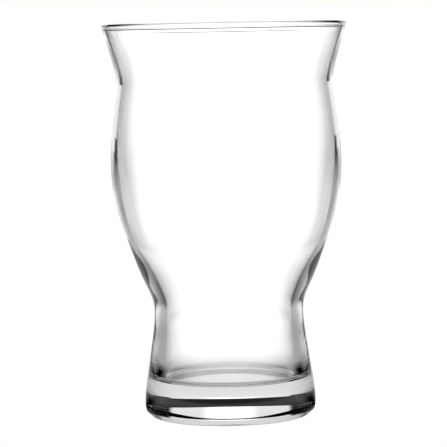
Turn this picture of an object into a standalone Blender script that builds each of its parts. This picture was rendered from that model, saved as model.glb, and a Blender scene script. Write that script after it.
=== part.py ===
"""A beer tumbler of clear glass, pressed and blown from one gob, so it is one solid with no joints.

From the table up: a heavy foot on a bevelled heel, a thick stem, a drawn-in waist, a full belly, a neck
and a flared lip with a fire-polished rim. The tumbler stands on the XY plane, with its axis on +Z.
"""

import math

import bpy

MM = 0.001

# Heights of the main rings of the outer skin, each one measured up from the one before it.
FOOT_RISE = 5.3 * MM  # from the table to the widest ring of the foot
WAIST_RISE = 31.7 * MM  # to the ring where the stem ends and the bowl begins
BELLY_RISE = 60.0 * MM  # to the widest ring of the bowl
NECK_RISE = 26.0 * MM  # to the narrow ring under the lip
LIP_RISE = 21.0 * MM  # to where the rim's round begins
RIM_ROUND_RISE = 1.0 * MM  # to the top of the rim

# Radii of the outer skin at those rings.
FOOT_RADIUS = 31.51 * MM
WAIST_RADIUS = 27.59 * MM
BELLY_RADIUS = 42.55 * MM
NECK_RADIUS = 39.76 * MM
RIM_RADIUS = 44.92 * MM
LIP_LEAN = math.radians(15.85)  # of the lip at the rim, outward from upright

# The wall's thickness there, measured level. It thins on its way up from the stem.
STEM_WALL = 5.75 * MM
WAIST_WALL = 4.52 * MM
BELLY_WALL = 1.97 * MM
NECK_WALL = 1.78 * MM
LIP_WALL = 1.97 * MM

# Rings between two main rings, as shares of the way from the lower one to the upper one:
# the share of the height, of the radius and of the wall.
STEM_SHARES = ((0.4637, 0.418, 0.0), (0.7792, 0.798, 0.545))
BOWL_SHARES = ((0.1, 0.0254, 0.06), (0.2167, 0.2172, 0.07), (0.4167, 0.5348, 0.733), (0.7167, 0.9057, 0.89))
SHOULDER_SHARES = ((0.577, 0.455, 1.0), (0.846, 0.821, 1.0))
LIP_SHARES = ((0.238, 0.128, 0.75),)

# The solid base, and the corner between the inner wall and the inner floor.
BASE_THICKNESS = 13.4 * MM
FLOOR_FILLET = 2.4 * MM

# The heel under the foot's widest ring: a bulging side, a tight corner, a straight slope, a round.
SIDE_HEIGHT = 2.9 * MM  # of the side's lower end above the table
SIDE_LEAN = math.radians(13.5)  # of the side at its lower end, in from upright
CORNER_ROUND = 0.92 * MM
SLOPE_LEAN = math.radians(48.0)  # of the slope, in from upright
EDGE_ROUND = 2.54 * MM

# The flat recess in the underside, which leaves a narrow ring to rest on the table.
REST_RING_WIDTH = 1.4 * MM
RECESS_DEPTH = 2.15 * MM
RECESS_WALL = 2.2 * MM  # how far the recess's side leans in over its depth

# Facets.
STEPS_AROUND = 56
STEPS_UP = 3  # between two rings
STEPS_IN_ROUND = 5
STEPS_IN_RIM = 6


def rings_between(low, high, shares):
    """Rings on the way from one main ring to the next, each as (height, radius, wall)."""
    rings = []
    for ring_shares in shares:
        ring = [start + (end - start) * share for start, end, share in zip(low, high, ring_shares)]
        rings.append(tuple(ring))
    return rings


def all_rings():
    """Every ring of the glass from the foot to the rim's round, as (height, radius, wall)."""
    waist_height = FOOT_RISE + WAIST_RISE
    belly_height = waist_height + BELLY_RISE
    neck_height = belly_height + NECK_RISE
    foot = (FOOT_RISE, FOOT_RADIUS, STEM_WALL)
    waist = (waist_height, WAIST_RADIUS, WAIST_WALL)
    belly = (belly_height, BELLY_RADIUS, BELLY_WALL)
    neck = (neck_height, NECK_RADIUS, NECK_WALL)
    rim = (neck_height + LIP_RISE, RIM_RADIUS, LIP_WALL)
    stretches = (
        (foot, waist, STEM_SHARES),
        (waist, belly, BOWL_SHARES),
        (belly, neck, SHOULDER_SHARES),
        (neck, rim, LIP_SHARES),
    )
    rings = []
    for low, high, shares in stretches:
        rings.append(low)
        rings += rings_between(low, high, shares)
    rings.append(rim)
    return rings


def smooth_curve(points, start_slope, end_slope):
    """Adds to each (height, value) the slope at which one curve runs through all with no jump in its bend."""
    heights = [point[0] for point in points]
    values = [point[1] for point in points]
    last = len(points) - 1
    factors = [0.0]
    slopes = [start_slope]
    for i in range(1, last):
        below = 1 / (heights[i] - heights[i - 1])
        above = 1 / (heights[i + 1] - heights[i])
        pull = 3 * ((values[i] - values[i - 1]) * below ** 2 + (values[i + 1] - values[i]) * above ** 2)
        pivot = 2 * (below + above) - below * factors[i - 1]
        factors.append(above / pivot)
        slopes.append((pull - below * slopes[i - 1]) / pivot)
    slopes.append(end_slope)
    for i in range(last - 1, 0, -1):
        slopes[i] -= factors[i] * slopes[i + 1]
    return list(zip(heights, values, slopes))


def value_between(low, high, height):
    """The curve's value at a height between two of its points."""
    low_height, low_value, low_slope = low
    high_height, high_value, high_slope = high
    rise = high_height - low_height
    t = (height - low_height) / rise
    start = (1 + 2 * t) * (1 - t) ** 2 * low_value + t * (1 - t) ** 2 * rise * low_slope
    end = t * t * (3 - 2 * t) * high_value + t * t * (t - 1) * rise * high_slope
    return start + end


def value_at(curve, height):
    """The curve's value at any height between its ends."""
    for low, high in zip(curve, curve[1:]):
        if height <= high[0]:
            return value_between(low, high, height)
    return curve[-1][1]


RINGS = all_rings()
SKIN = smooth_curve([(height, radius) for height, radius, wall in RINGS], 0.0, math.tan(LIP_LEAN))
WALL = smooth_curve([(height, wall) for height, radius, wall in RINGS], 0.0, 0.0)


def skin_heights(from_height):
    """Heights at which the skin is cut into facets, from from_height up to the rim's round."""
    heights = [from_height]
    for low, high in zip(SKIN, SKIN[1:]):
        for step in range(1, STEPS_UP + 1):
            height = low[0] + (high[0] - low[0]) * step / STEPS_UP
            if height > from_height + 0.5 * MM:
                heights.append(height)
    return heights


def arc(centre, radius, start_angle, end_angle):
    """Points after the first one on an arc in the half section. Angles are turned down from level."""
    points = []
    for step in range(1, STEPS_IN_ROUND + 1):
        angle = start_angle + (end_angle - start_angle) * step / STEPS_IN_ROUND
        points.append((centre[0] + radius * math.cos(angle), centre[1] - radius * math.sin(angle)))
    return points


def inner_side():
    """The inside of the glass, from the middle of its floor up the wall to the rim."""
    corner_height = BASE_THICKNESS + FLOOR_FILLET
    corner_radius = value_at(SKIN, corner_height) - value_at(WALL, corner_height)
    floor_edge = corner_radius - FLOOR_FILLET
    points = [(0.0, BASE_THICKNESS), (floor_edge, BASE_THICKNESS)]
    points += arc((floor_edge, corner_height), FLOOR_FILLET, math.pi / 2, 0.0)
    for height in skin_heights(corner_height)[1:]:
        points.append((value_at(SKIN, height) - value_at(WALL, height), height))
    return points


def rim_round():
    """The half round that joins the inner wall's top to the outer wall's top."""
    rim_height, rim_radius, _ = SKIN[-1]
    half_width = LIP_WALL / 2
    points = []
    for step in range(1, STEPS_IN_RIM):
        angle = math.pi * (1 - step / STEPS_IN_RIM)
        radius = rim_radius - half_width + half_width * math.cos(angle)
        points.append((radius, rim_height + RIM_ROUND_RISE * math.sin(angle)))
    return points


def outer_side():
    """The outer skin from the rim down to the foot's widest ring."""
    return [(value_at(SKIN, height), height) for height in reversed(skin_heights(FOOT_RISE))]


def heel():
    """The foot's edge from its widest ring down to the table: side, corner, slope and round."""
    side_round = (FOOT_RISE - SIDE_HEIGHT) / math.sin(SIDE_LEAN)
    points = arc((FOOT_RADIUS - side_round, FOOT_RISE), side_round, 0.0, SIDE_LEAN)
    corner_radius, corner_height = points[-1]
    corner_centre = (
        corner_radius - CORNER_ROUND * math.cos(SIDE_LEAN),
        corner_height + CORNER_ROUND * math.sin(SIDE_LEAN),
    )
    points += arc(corner_centre, CORNER_ROUND, SIDE_LEAN, SLOPE_LEAN)
    top_radius, top_height = points[-1]
    bottom_height = EDGE_ROUND * (1 - math.sin(SLOPE_LEAN))
    bottom_radius = top_radius - (top_height - bottom_height) * math.tan(SLOPE_LEAN)
    points.append((bottom_radius, bottom_height))
    edge_centre = (bottom_radius - EDGE_ROUND * math.cos(SLOPE_LEAN), EDGE_ROUND)
    points += arc(edge_centre, EDGE_ROUND, SLOPE_LEAN, math.pi / 2)
    return points


def recess(ring_outer):
    """The recess, from its foot on the resting ring up its soft-edged side and in to the axis."""
    ring_inner = ring_outer - REST_RING_WIDTH
    points = []
    for step in range(STEPS_IN_ROUND + 1):
        t = step / STEPS_IN_ROUND
        points.append((ring_inner - RECESS_WALL * t, RECESS_DEPTH * t * t * (3 - 2 * t)))
    points.append((0.0, RECESS_DEPTH))
    return points


def make_glass_material():
    """Clear, colourless soda-lime glass with a fire-polished surface."""
    material = bpy.data.materials.new("clear_glass")
    material.use_nodes = True
    shader = material.node_tree.nodes["Principled BSDF"]
    shader.inputs["Base Color"].default_value = (0.97, 0.98, 0.98, 1.0)
    shader.inputs["Metallic"].default_value = 0.0
    shader.inputs["Roughness"].default_value = 0.02
    shader.inputs["IOR"].default_value = 1.52
    shader.inputs["Transmission Weight"].default_value = 1.0
    return material


def make_glass_body(collection):
    """Turns the half section round the Z axis into one closed solid."""
    section = inner_side() + rim_round() + outer_side() + heel()
    section += recess(section[-1][0])
    mesh = bpy.data.meshes.new("glass_body")
    vertices = [(radius, 0.0, height) for radius, height in section]
    edges = [(index, index + 1) for index in range(len(section) - 1)]
    mesh.from_pydata(vertices, edges, [])
    mesh.materials.append(make_glass_material())
    body = bpy.data.objects.new("glass_body", mesh)
    collection.objects.link(body)
    turn = body.modifiers.new("turn", "SCREW")
    turn.axis = "Z"
    turn.angle = math.tau
    turn.steps = STEPS_AROUND
    turn.render_steps = STEPS_AROUND
    turn.use_merge_vertices = True
    turn.merge_threshold = 0.00001
    turn.use_smooth_shade = True
    return body


def main():
    for item in list(bpy.data.objects):
        bpy.data.objects.remove(item, do_unlink=True)
    collection = bpy.data.collections.new("Tumbler")
    bpy.context.scene.collection.children.link(collection)
    make_glass_body(collection)


main()
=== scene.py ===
"""The looks of the clear glass tumbler: its finished glass body, the studio it stands in and the camera."""

import math

import bpy
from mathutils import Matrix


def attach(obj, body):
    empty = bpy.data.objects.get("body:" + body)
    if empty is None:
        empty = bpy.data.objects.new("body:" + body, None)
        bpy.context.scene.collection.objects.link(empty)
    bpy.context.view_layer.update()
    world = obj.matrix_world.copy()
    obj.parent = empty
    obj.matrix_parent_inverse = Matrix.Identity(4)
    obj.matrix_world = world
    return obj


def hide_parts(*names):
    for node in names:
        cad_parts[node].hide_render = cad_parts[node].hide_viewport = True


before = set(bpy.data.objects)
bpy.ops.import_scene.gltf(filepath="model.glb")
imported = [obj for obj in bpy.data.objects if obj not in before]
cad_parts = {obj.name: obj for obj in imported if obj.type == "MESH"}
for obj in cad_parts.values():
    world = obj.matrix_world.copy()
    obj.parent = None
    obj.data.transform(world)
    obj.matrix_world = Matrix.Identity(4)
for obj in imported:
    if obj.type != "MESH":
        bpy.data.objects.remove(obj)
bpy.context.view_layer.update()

MM = 0.001
DEGREE = math.radians(1)

# The outer skin, as the height and radius of rings that one smooth curve runs through, from foot to lip.
SKIN_RINGS = (
    (5.3 * MM, 31.51 * MM),
    (20.0 * MM, 29.87 * MM),
    (30.0 * MM, 28.38 * MM),
    (37.0 * MM, 27.59 * MM),
    (43.0 * MM, 27.97 * MM),
    (50.0 * MM, 30.84 * MM),
    (62.0 * MM, 35.59 * MM),
    (80.0 * MM, 41.14 * MM),
    (97.0 * MM, 42.55 * MM),
    (112.0 * MM, 41.28 * MM),
    (119.0 * MM, 40.26 * MM),
    (123.0 * MM, 39.76 * MM),
    (128.0 * MM, 40.42 * MM),
    (141.0 * MM, 44.07 * MM),
)
FOOT_RISE, FOOT_RADIUS = SKIN_RINGS[0]

# The solid base, and the corner between the inner wall and the inner floor.
BASE_THICKNESS = 13.4 * MM
FLOOR_FILLET = 2.4 * MM

# The inside of the wall, as the same kind of rings, from the top of the floor's corner to the lip.
BORE_RINGS = (
    (BASE_THICKNESS + FLOOR_FILLET, 24.47 * MM),
    (27.0 * MM, 23.64 * MM),
    (35.0 * MM, 23.17 * MM),
    (43.0 * MM, 23.62 * MM),
    (51.0 * MM, 27.31 * MM),
    (62.0 * MM, 32.90 * MM),
    (80.0 * MM, 38.44 * MM),
    (97.0 * MM, 40.28 * MM),
    (112.0 * MM, 39.18 * MM),
    (119.0 * MM, 38.21 * MM),
    (123.0 * MM, 37.72 * MM),
    (128.0 * MM, 38.42 * MM),
    (141.0 * MM, 42.46 * MM),
)

# The lip above both top rings is straight, and the fire-polished bead round the rim stands proud of it:
# how far, and the heights between which it swells.
LIP_SLOPE = 0.284  # how far out for each step up
RIM_TOP = 145.43 * MM
BEAD_HEIGHT = 1.04 * MM  # of the bead's round top
BEAD_INSIDE = (0.34 * MM, 143.33 * MM, 143.96 * MM)
BEAD_OUTSIDE = (0.02 * MM, 141.84 * MM, 142.48 * MM)

# The heel under the foot's widest ring: a bulging side, a tight corner, a straight slope, a round.
SIDE_HEIGHT = 2.9 * MM  # of the side's lower end above the table
SIDE_LEAN = 13.5 * DEGREE  # of the side at its lower end, in from upright
CORNER_ROUND = 0.92 * MM
SLOPE_LEAN = 48.0 * DEGREE  # of the slope, in from upright
EDGE_ROUND = 2.54 * MM

# The flat recess in the underside, inside the ring that rests on the table.
RECESS_RADIUS = 23.67 * MM  # of its flat roof
RECESS_DEPTH = 2.15 * MM
RECESS_WALL = 2.5 * MM  # how far its side leans in over its depth

# Facets.
STEPS_AROUND = 256
STEPS_UP = 9  # between two rings
STEPS_IN_ROUND = 16
STEPS_IN_LIP = 24  # from a top ring to the bead's round
MERGE_DISTANCE = 0.001 * MM  # closes the turned section at its seam and on the axis

# The glass and its surface: faint waves drawn out along the axis, and patches of haze. Both are noise, whose
# scale is its number of cells in a metre.
GLASS_IOR = 1.52
WAVE_SCALES = (90.0, 90.0, 25.0)  # along X, Y and Z
WAVE_DETAIL = 1.0
WAVE_DEPTH = 0.02 * MM
HAZE_SCALE = 130.0
HAZE_DETAIL = 4.0
HAZE_EDGE = (0.45, 0.75)  # where in the noise a patch begins, and where it is full
HAZE_ROUGHNESS = (0.0, 0.012)  # of clear glass, and of a full patch

# The camera, measured from the glass's axis and from the table in metres, with a lens in millimetres.
CAMERA_DISTANCE = 0.9888
CAMERA_HEIGHT = 0.14772
CAMERA_PITCH = 4.432 * DEGREE  # downward
CAMERA_ROLL = -1.08 * DEGREE
CAMERA_LENS = 216.26
CAMERA_SENSOR = 36.0
CAMERA_SHIFT = (-0.0085, 0.0011)

# The studio as the glass sees it. Bearings are angles to both sides of the backdrop's middle, and each edge
# is soft, from its first value to its second.
BACKDROP_BEARING = 0.4 * DEGREE  # of the backdrop's middle, clockwise from +Y
PANEL_EDGE = (5.6 * DEGREE, 15.0 * DEGREE)  # of the bright panel in the backdrop's middle
PANEL_TONE = 1.387
BACKDROP_TONE = 0.843  # beside the panel
CARD_EDGE = (31.3 * DEGREE, 36.8 * DEGREE)  # where the backdrop ends and a dark card begins
ROOM_EDGE = (72.9 * DEGREE, 92.6 * DEGREE)  # where the card ends and the dim room begins
ROOM_TONE = 0.4
FRONT_EDGE = (110.0 * DEGREE, 170.0 * DEGREE)  # where the room dims towards the front
FRONT_SHARE = 0.9
STUDIO_TOP = (15.7 * DEGREE, 17.1 * DEGREE)  # the elevation above which all is dark

# The table, and the painted light and shade that it gives off, by bearing and by distance in metres from the
# glass's axis.
TABLE_HALF_WIDTH = 3.0
TABLE_DROP = 0.1 * MM  # keeps the table's face clear of the glass's resting ring
BELOW_EDGE = (0.026, 0.034)  # of the patch of painted shade under the glass
BELOW_TONE = 0.52
STRIP_EDGE = (6.0 * DEGREE, 46.5 * DEGREE)  # of the painted strip of light that runs back from the glass
STRIP_TONE = 1.355
STRIP_SIDE_TONE = 0.42  # beside the strip
STRIP_NARROWS = (0.168, 0.310)  # the distances between which the strip narrows
STRIP_FAR_WIDTH = 0.577  # its width beyond them, as a share of that near the glass
STRIP_NEAR = (0.03, 0.163)  # the distances between which the strip's painted shade near the glass fades
STRIP_NEAR_SHARE = 0.523  # of its light that the painted shade leaves, next to the glass
SHADE_EDGE = (40.0 * DEGREE, 60.0 * DEGREE)  # where the shade beside the glass begins
SHADE_REACH = (0.075, 0.150)  # the distances between which that shade fades
SWEEP_START = (0.4, 0.9)  # the distances between which the table takes on the backdrop's tones
SWEEP_EDGE = (23.4 * DEGREE, 30.0 * DEGREE)  # where those tones end
TABLE_FRONT_EDGE = (65.0 * DEGREE, 85.0 * DEGREE)  # where the table beside and in front of the glass begins
TABLE_FRONT_TONE = 0.6
TABLE_FRONT_SHADE = (0.03, 0.11)  # the distances between which its painted shade near the glass fades

BLACK = (0.0, 0.0, 0.0, 1.0)
WHITE = (1.0, 1.0, 1.0, 1.0)
BOUNCES = 10  # of one path of light


def smooth_curve(rings, start_slope, end_slope):
    """Gives each ring the slope at which one curve runs through all of them with no jump in its bend."""
    heights = [ring[0] for ring in rings]
    values = [ring[1] for ring in rings]
    last = len(rings) - 1
    factors = [0.0]
    slopes = [start_slope]
    for i in range(1, last):
        below = 1 / (heights[i] - heights[i - 1])
        above = 1 / (heights[i + 1] - heights[i])
        pull = 3 * ((values[i] - values[i - 1]) * below ** 2 + (values[i + 1] - values[i]) * above ** 2)
        pivot = 2 * (below + above) - below * factors[i - 1]
        factors.append(above / pivot)
        slopes.append((pull - below * slopes[i - 1]) / pivot)
    slopes.append(end_slope)
    for i in range(last - 1, 0, -1):
        slopes[i] -= factors[i] * slopes[i + 1]
    return list(zip(heights, values, slopes))


SKIN = smooth_curve(SKIN_RINGS, 0.0, LIP_SLOPE)
BORE = smooth_curve(BORE_RINGS, 0.0, LIP_SLOPE)


def value_between(low, high, height):
    """The curve's value at a height between two rings."""
    low_height, low_value, low_slope = low
    high_height, high_value, high_slope = high
    rise = high_height - low_height
    t = (height - low_height) / rise
    start = (1 + 2 * t) * (1 - t) ** 2 * low_value + t * (1 - t) ** 2 * rise * low_slope
    end = t * t * (3 - 2 * t) * high_value + t * t * (t - 1) * rise * high_slope
    return start + end


def along(curve):
    """Points of the half section along a curve, from its lowest ring to its highest."""
    points = [(curve[0][1], curve[0][0])]
    for low, high in zip(curve, curve[1:]):
        for step in range(1, STEPS_UP + 1):
            height = low[0] + (high[0] - low[0]) * step / STEPS_UP
            points.append((value_between(low, high, height), height))
    return points


def arc(centre, radius, start_angle, end_angle):
    """Points after the first one on an arc in the half section. Angles are turned down from level."""
    points = []
    for step in range(1, STEPS_IN_ROUND + 1):
        angle = start_angle + (end_angle - start_angle) * step / STEPS_IN_ROUND
        points.append((centre[0] + radius * math.cos(angle), centre[1] - radius * math.sin(angle)))
    return points


def ease(t):
    """A smooth change from 0 to 1 while t goes from 0 to 1, level at both ends."""
    return t * t * (3 - 2 * t)


def inner_side():
    """The inside of the glass, from the middle of its floor up the wall to the lip."""
    corner_height, corner_radius, _ = BORE[0]
    floor_edge = corner_radius - FLOOR_FILLET
    points = [(0.0, BASE_THICKNESS), (floor_edge / 2, BASE_THICKNESS), (floor_edge, BASE_THICKNESS)]
    points += arc((floor_edge, corner_height), FLOOR_FILLET, math.pi / 2, 0.0)
    points += along(BORE)[1:]
    return points


def swell(height, bead):
    """How far the bead stands proud of the straight lip at a height."""
    proud, low, high = bead
    t = min(max((height - low) / (high - low), 0.0), 1.0)
    return proud * ease(t)


def lip_side(curve, bead, outward):
    """Points from a curve's top ring up the straight lip and the bead's step to the bead's round."""
    start_height, start_radius, _ = curve[-1]
    points = []
    for step in range(1, STEPS_IN_LIP + 1):
        height = start_height + (RIM_TOP - BEAD_HEIGHT - start_height) * step / STEPS_IN_LIP
        radius = start_radius + LIP_SLOPE * (height - start_height) + outward * swell(height, bead)
        points.append((radius, height))
    return points


def lip():
    """The lip's inner side up to the rim, the bead's round top and the lip's outer side down again."""
    inner = lip_side(BORE, BEAD_INSIDE, -1)
    outer = lip_side(SKIN, BEAD_OUTSIDE, 1)
    round_height = RIM_TOP - BEAD_HEIGHT
    middle = (inner[-1][0] + outer[-1][0]) / 2
    half_width = (outer[-1][0] - inner[-1][0]) / 2
    top = []
    for step in range(1, STEPS_IN_ROUND):
        angle = math.pi * (1 - step / STEPS_IN_ROUND)
        top.append((middle + half_width * math.cos(angle), round_height + BEAD_HEIGHT * math.sin(angle)))
    return inner + top + outer[::-1]


def outer_side():
    """The outer skin from the lip down to the foot's widest ring."""
    return along(SKIN)[::-1]


def heel():
    """The foot's edge from its widest ring down to the table: side, corner, slope and round."""
    side_round = (FOOT_RISE - SIDE_HEIGHT) / math.sin(SIDE_LEAN)
    points = arc((FOOT_RADIUS - side_round, FOOT_RISE), side_round, 0.0, SIDE_LEAN)
    corner_radius, corner_height = points[-1]
    corner_centre = (
        corner_radius - CORNER_ROUND * math.cos(SIDE_LEAN),
        corner_height + CORNER_ROUND * math.sin(SIDE_LEAN),
    )
    points += arc(corner_centre, CORNER_ROUND, SIDE_LEAN, SLOPE_LEAN)
    top_radius, top_height = points[-1]
    bottom_height = EDGE_ROUND * (1 - math.sin(SLOPE_LEAN))
    bottom_radius = top_radius - (top_height - bottom_height) * math.tan(SLOPE_LEAN)
    points.append((bottom_radius, bottom_height))
    edge_centre = (bottom_radius - EDGE_ROUND * math.cos(SLOPE_LEAN), EDGE_ROUND)
    points += arc(edge_centre, EDGE_ROUND, SLOPE_LEAN, math.pi / 2)
    return points


def recess():
    """The recess, from its foot on the resting ring up its soft-edged side and in to the axis."""
    points = []
    for step in range(STEPS_IN_ROUND + 1):
        t = step / STEPS_IN_ROUND
        points.append((RECESS_RADIUS + RECESS_WALL * (1 - t), RECESS_DEPTH * ease(t)))
    points.append((RECESS_RADIUS / 2, RECESS_DEPTH))
    points.append((0.0, RECESS_DEPTH))
    return points


class Nodes:
    """Small helpers for wiring shader nodes together."""

    def __init__(self, tree):
        self.tree = tree

    def add(self, kind, **settings):
        """A new node with some of its settings changed."""
        node = self.tree.nodes.new(kind)
        for name, value in settings.items():
            setattr(node, name, value)
        return node

    def put(self, socket, value):
        """Links another node's output to a socket, or sets the socket to a plain value."""
        if isinstance(value, bpy.types.NodeSocket):
            self.tree.links.new(value, socket)
        else:
            socket.default_value = value

    def math(self, operation, *values):
        """The result of one operation on one or two values."""
        node = self.add("ShaderNodeMath", operation=operation)
        for socket, value in zip(node.inputs, values):
            self.put(socket, value)
        return node.outputs["Value"]

    def ramp(self, value, edge, start, end):
        """A smooth change from start to end while value crosses an edge."""
        node = self.add("ShaderNodeMapRange", interpolation_type="SMOOTHSTEP")
        self.put(node.inputs["Value"], value)
        self.put(node.inputs["From Min"], edge[0])
        self.put(node.inputs["From Max"], edge[1])
        self.put(node.inputs["To Min"], start)
        self.put(node.inputs["To Max"], end)
        return node.outputs["Result"]

    def mix(self, share, first, second):
        """first where share is 0, second where it is 1."""
        rest = self.math("SUBTRACT", 1.0, share)
        return self.math("ADD", self.math("MULTIPLY", rest, first), self.math("MULTIPLY", share, second))

    def noise(self, place, scale, detail):
        """Soft random patches, 0 to 1."""
        node = self.add("ShaderNodeTexNoise")
        self.put(node.inputs["Vector"], place)
        self.put(node.inputs["Scale"], scale)
        self.put(node.inputs["Detail"], detail)
        return node.outputs["Fac"]

    def coordinates(self, kind):
        """X, Y and Z of one kind of texture coordinates."""
        node = self.add("ShaderNodeSeparateXYZ")
        self.put(node.inputs["Vector"], self.add("ShaderNodeTexCoord").outputs[kind])
        return node.outputs

    def bearing(self, x, y):
        """The angle to either side of the backdrop's middle."""
        turned = self.math("SUBTRACT", self.math("ARCTAN2", x, y), BACKDROP_BEARING)
        return self.math("ABSOLUTE", turned)

    def distance(self, x, y):
        """The distance of a place from the Z axis."""
        squares = self.math("ADD", self.math("MULTIPLY", x, x), self.math("MULTIPLY", y, y))
        return self.math("SQRT", squares)

    def backdrop(self, bearing, edge):
        """The backdrop's tones, from the bright panel in its middle to the edge where it ends."""
        panel = self.ramp(bearing, PANEL_EDGE, PANEL_TONE, BACKDROP_TONE)
        return self.math("MULTIPLY", panel, self.ramp(bearing, edge, 1.0, 0.0))

    def white_to_camera(self, tone):
        """A tone for the glass to see, and plain white where the camera looks straight at it."""
        seen = self.add("ShaderNodeLightPath").outputs["Is Camera Ray"]
        return self.mix(seen, tone, 1.0)


def wavy_normal(nodes, place):
    """The faint waves that blowing leaves in the glass."""
    drawn = nodes.add("ShaderNodeMapping")
    nodes.put(drawn.inputs["Vector"], place)
    nodes.put(drawn.inputs["Scale"], WAVE_SCALES)
    bump = nodes.add("ShaderNodeBump")
    nodes.put(bump.inputs["Distance"], WAVE_DEPTH)
    nodes.put(bump.inputs["Height"], nodes.noise(drawn.outputs["Vector"], 1.0, WAVE_DETAIL))
    return bump.outputs["Normal"]


def hazy_roughness(nodes, place):
    """The trace of haze that washing leaves on the glass."""
    patches = nodes.noise(place, HAZE_SCALE, HAZE_DETAIL)
    return nodes.ramp(patches, HAZE_EDGE, *HAZE_ROUGHNESS)


def make_glass_material():
    """Clear soda-lime glass with faint waves and a trace of haze."""
    material = bpy.data.materials.new("clear_glass")
    material.use_nodes = True
    nodes = Nodes(material.node_tree)
    shader = material.node_tree.nodes["Principled BSDF"]
    nodes.put(shader.inputs["Base Color"], WHITE)
    nodes.put(shader.inputs["IOR"], GLASS_IOR)
    nodes.put(shader.inputs["Transmission Weight"], 1.0)
    place = nodes.add("ShaderNodeTexCoord").outputs["Object"]
    nodes.put(shader.inputs["Normal"], wavy_normal(nodes, place))
    nodes.put(shader.inputs["Roughness"], hazy_roughness(nodes, place))
    return material


def turn_round_axis(body):
    """Turns a half section round the Z axis into a closed shape."""
    turn = body.modifiers.new("turn", "SCREW")
    turn.axis = "Z"
    turn.angle = math.tau
    turn.steps = STEPS_AROUND
    turn.render_steps = STEPS_AROUND
    turn.use_merge_vertices = True
    turn.merge_threshold = MERGE_DISTANCE
    turn.use_smooth_shade = True


def make_glass_body():
    """The whole glass, which stands for the CAD's one node."""
    section = inner_side() + lip() + outer_side() + heel() + recess()
    mesh = bpy.data.meshes.new("tumbler_glass")
    vertices = [(radius, 0.0, height) for radius, height in section]
    edges = [(index, index + 1) for index in range(len(section) - 1)]
    mesh.from_pydata(vertices, edges, [])
    mesh.materials.append(make_glass_material())
    body = bpy.data.objects.new("tumbler_glass", mesh)
    bpy.context.scene.collection.objects.link(body)
    turn_round_axis(body)
    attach(body, "root")
    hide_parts("glass_body")


def make_surround():
    """The studio: a bright backdrop behind the glass, a dark card at each side and a dim room in front."""
    world = bpy.data.worlds.new("studio")
    bpy.context.scene.world = world
    world.use_nodes = True
    nodes = Nodes(world.node_tree)
    background = world.node_tree.nodes["Background"]
    x, y, z = nodes.coordinates("Generated")
    bearing = nodes.bearing(x, y)
    elevation = nodes.math("ARCSINE", z)
    behind = nodes.backdrop(bearing, CARD_EDGE)
    dimming = nodes.ramp(bearing, FRONT_EDGE, 1.0, FRONT_SHARE)
    room = nodes.math("MULTIPLY", nodes.ramp(bearing, ROOM_EDGE, 0.0, ROOM_TONE), dimming)
    around = nodes.math("ADD", behind, room)
    studio = nodes.math("MULTIPLY", around, nodes.ramp(elevation, STUDIO_TOP, 1.0, 0.0))
    nodes.put(background.inputs["Color"], WHITE)
    nodes.put(background.inputs["Strength"], nodes.white_to_camera(studio))


def table_behind(nodes, bearing, distance):
    """The painted strip of light that runs back from the glass, with painted shade near it, and far off the
    backdrop's sweep.
    """
    width = nodes.ramp(distance, STRIP_NARROWS, 1.0, STRIP_FAR_WIDTH)
    strip = nodes.ramp(nodes.math("DIVIDE", bearing, width), STRIP_EDGE, STRIP_TONE, STRIP_SIDE_TONE)
    near_strip = nodes.ramp(distance, STRIP_NEAR, STRIP_NEAR_SHARE, 1.0)
    shade = nodes.ramp(distance, SHADE_REACH, 0.0, 1.0)
    near = nodes.mix(nodes.ramp(bearing, SHADE_EDGE, 0.0, 1.0), near_strip, shade)
    shaded_strip = nodes.math("MULTIPLY", strip, near)
    sweep = nodes.backdrop(bearing, SWEEP_EDGE)
    return nodes.mix(nodes.ramp(distance, SWEEP_START, 0.0, 1.0), shaded_strip, sweep)


def table_in_front(nodes, bearing, distance):
    """The painted light on the table beside and in front of the glass, with painted shade close to it."""
    tone = nodes.ramp(bearing, TABLE_FRONT_EDGE, 0.0, TABLE_FRONT_TONE)
    return nodes.math("MULTIPLY", tone, nodes.ramp(distance, TABLE_FRONT_SHADE, 0.0, 1.0))


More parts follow.
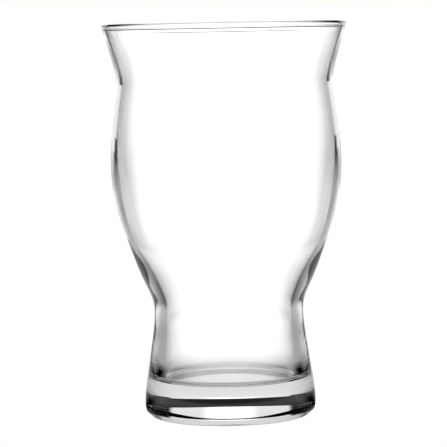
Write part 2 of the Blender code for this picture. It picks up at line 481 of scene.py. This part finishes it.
def table_painted_light(nodes):
    """The painted light and shade that the table gives off for the glass to see."""
    x, y, _ = nodes.coordinates("Object")
    bearing = nodes.bearing(x, y)
    distance = nodes.distance(x, y)
    behind = table_behind(nodes, bearing, distance)
    in_front = table_in_front(nodes, bearing, distance)
    open_table = nodes.math("ADD", behind, in_front)
    # painted shade under the glass: one dimmed tone of emitted light there
    below = nodes.ramp(distance, BELOW_EDGE, 1.0, 0.0)
    return nodes.mix(below, open_table, BELOW_TONE)


def make_table_material():
    """A plain pale surface that glows with painted light and shade: the light it would have in the studio.
    """
    material = bpy.data.materials.new("pale_table_painted_light")
    material.use_nodes = True
    nodes = Nodes(material.node_tree)
    shader = material.node_tree.nodes["Principled BSDF"]
    nodes.put(shader.inputs["Base Color"], BLACK)
    nodes.put(shader.inputs["Specular IOR Level"], 0.0)
    nodes.put(shader.inputs["Roughness"], 1.0)
    nodes.put(shader.inputs["Emission Color"], WHITE)
    nodes.put(shader.inputs["Emission Strength"], nodes.white_to_camera(table_painted_light(nodes)))
    return material


def make_floor():
    """The table that the glass stands on."""
    mesh = bpy.data.meshes.new("floor")
    half = TABLE_HALF_WIDTH
    corners = [(-half, -half, 0.0), (half, -half, 0.0), (half, half, 0.0), (-half, half, 0.0)]
    mesh.from_pydata(corners, [], [(0, 1, 2, 3)])
    mesh.materials.append(make_table_material())
    floor = bpy.data.objects.new("floor", mesh)
    floor.location.z = -TABLE_DROP
    bpy.context.scene.collection.objects.link(floor)


def make_camera():
    """The camera at the photograph's viewing angle."""
    data = bpy.data.cameras.new("camera")
    data.lens = CAMERA_LENS
    data.sensor_width = CAMERA_SENSOR
    data.shift_x, data.shift_y = CAMERA_SHIFT
    camera = bpy.data.objects.new("camera", data)
    bpy.context.scene.collection.objects.link(camera)
    camera.location = (0.0, -CAMERA_DISTANCE, CAMERA_HEIGHT)
    camera.rotation_mode = "XYZ"
    camera.rotation_euler = (math.pi / 2 - CAMERA_PITCH, 0.0, 0.0)
    camera.rotation_euler.rotate_axis("Z", CAMERA_ROLL)
    bpy.context.scene.camera = camera


def set_up_rendering():
    """Enough bounces for light to find its way out of thick glass, no light held back, and plain tones."""
    scene = bpy.context.scene
    scene.cycles.max_bounces = BOUNCES
    scene.cycles.transmission_bounces = BOUNCES
    scene.cycles.glossy_bounces = BOUNCES
    scene.cycles.sample_clamp_indirect = 0.0
    scene.view_settings.view_transform = "Standard"


make_camera()
make_glass_body()
make_floor()
make_surround()
set_up_rendering()
